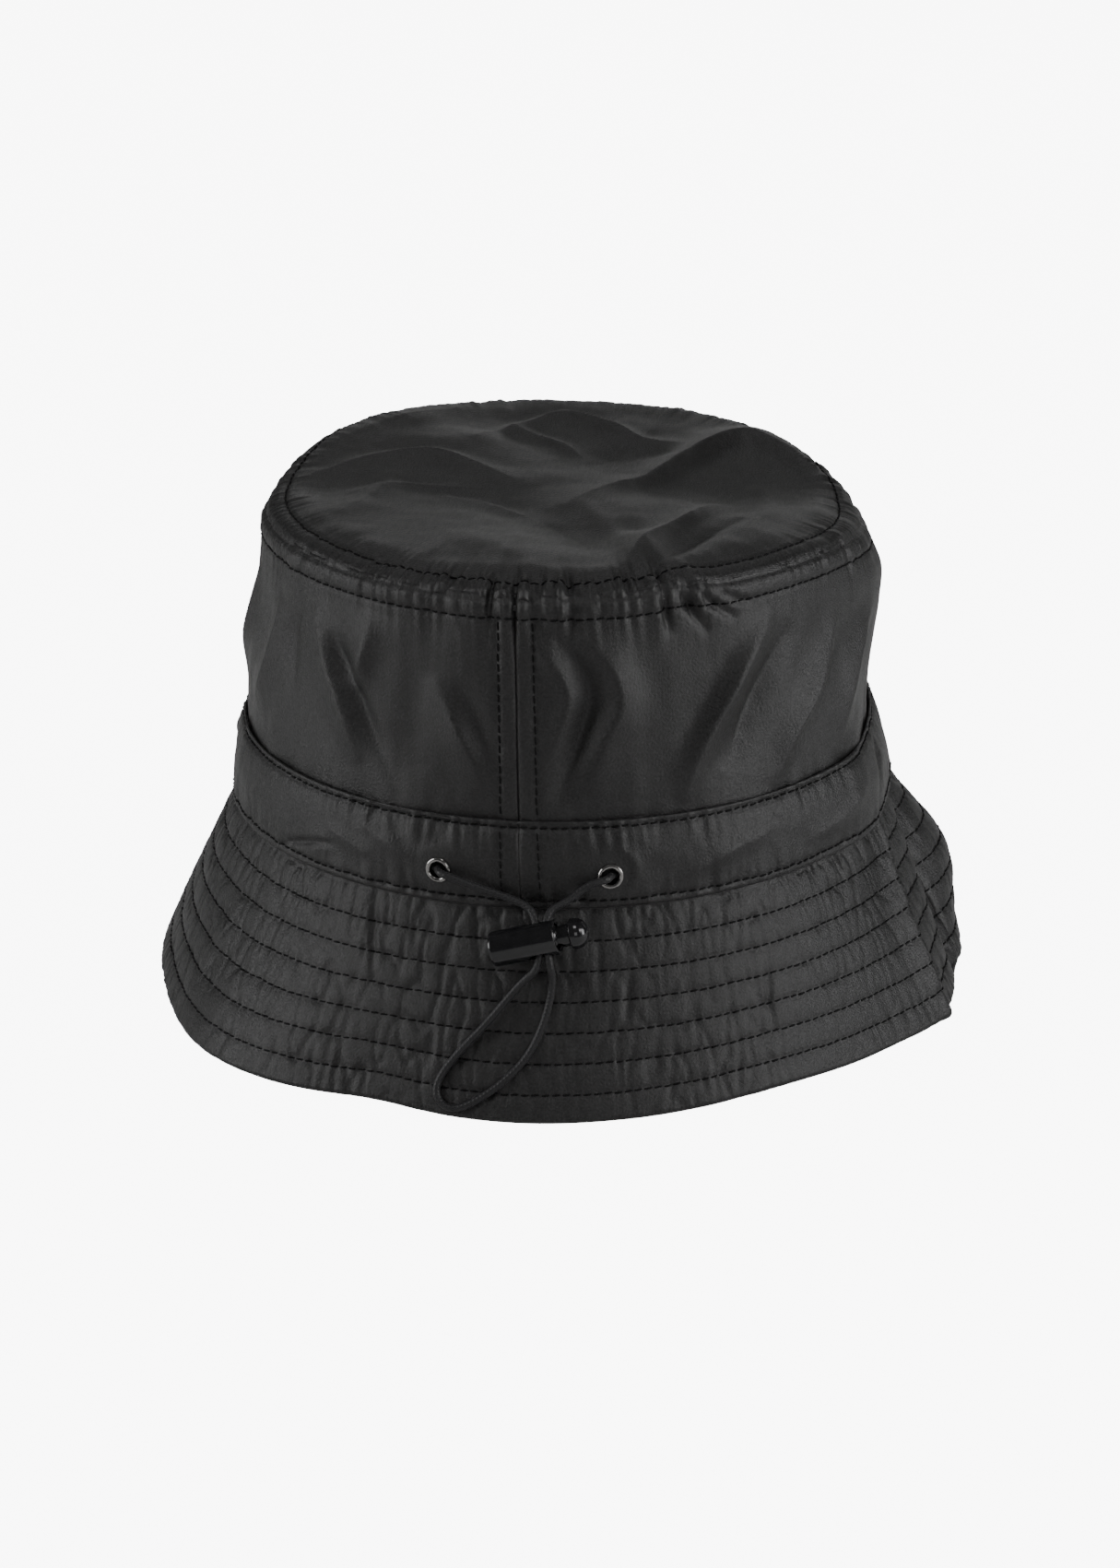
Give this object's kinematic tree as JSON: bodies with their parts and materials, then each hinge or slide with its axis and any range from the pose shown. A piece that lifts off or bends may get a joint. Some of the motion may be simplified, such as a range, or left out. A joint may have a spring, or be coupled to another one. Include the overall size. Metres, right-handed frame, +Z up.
{
  "type": "bucket hat",
  "caption": "Soft bucket hat with a stitched sloping brim, a band that holds a drawcord, and a sprung cord lock at the back.",
  "frame": {"origin": "middle of the hat at its hem, on the surface that it stands on", "axes": "+Z up; the wearer looks along +Y, so the drawcord hangs at the back, at -Y; +X is the wearer's right"},
  "size_m": [0.231, 0.2426, 0.1403],
  "materials": {
    "shell_cloth": "black nylon with a soft satin sheen",
    "interlining": "stiff non-woven",
    "seam_tape": "flat black tape",
    "sweatband_cloth": "matt wicking knit",
    "label_cloth": "blank satin label",
    "patch_cloth": "matt",
    "thread": "polyester thread",
    "eyelet_metal": "black nickel plate, polished",
    "lock_plastic": "gloss moulded black",
    "spring_steel": "bright wire",
    "cord_braid": "braided elastic cord"
  },
  "bodies": {
    "hat": {"crown_tip": "shell_cloth", "crown_side_left": "shell_cloth", "crown_side_right": "shell_cloth", "cord_casing_left": "shell_cloth", "cord_casing_right": "shell_cloth", "brim_upper_back": "shell_cloth", "brim_upper_front": "shell_cloth", "brim_under_back": "shell_cloth", "brim_under_front": "shell_cloth", "brim_interlining": "interlining", "tip_seam_tape": "seam_tape", "back_seam_tape": "seam_tape", "front_seam_tape": "seam_tape", "sweatband": "sweatband_cloth", "care_label": "label_cloth", "eyelet_patch_left": "patch_cloth", "eyelet_patch_right": "patch_cloth", "eyelet_left": "eyelet_metal", "eyelet_right": "eyelet_metal", "eyelet_washer_left": "eyelet_metal", "eyelet_washer_right": "eyelet_metal", "sweatband_stitching": "thread", "tip_stitching_upper": "thread", "tip_stitching_lower": "thread", "casing_stitching_top": "thread", "casing_stitching_bottom": "thread", "back_seam_stitching": "thread", "front_seam_stitching": "thread", "drawcord_in_casing": "cord_braid", "brim_stitch_row_1": "thread", "brim_stitch_row_2": "thread", "brim_stitch_row_3": "thread", "brim_stitch_row_4": "thread", "brim_stitch_row_5": "thread", "brim_stitch_row_6": "thread"},
    "drawcord": {"drawcord": "cord_braid"},
    "cord_lock": {"cord_lock_barrel": "lock_plastic", "cord_lock_spring": "spring_steel"},
    "plunger": {"cord_lock_plunger": "lock_plastic"}
  },
  "joints": [
    {"name": "toggle_swing", "type": "hinge", "parent": "hat", "child": "drawcord", "pos_m": [0, -0.0953, 0.061], "axis": [-1, 0, 0], "range_deg": [0, 65]},
    {"name": "cord_lock_slide", "type": "slide", "parent": "drawcord", "child": "cord_lock", "axis": [-0.5009, -0.3506, -0.7913], "range_m": [-0.004, 0.03], "deforming": ["drawcord"]},
    {"name": "plunger_press", "type": "slide", "parent": "cord_lock", "child": "plunger", "axis": [-0.9594, 0.0738, -0.2723], "range_m": [0, 0.0034], "stiffness_N_per_m": 1500, "deforming": ["cord_lock_spring"]}
  ]
}
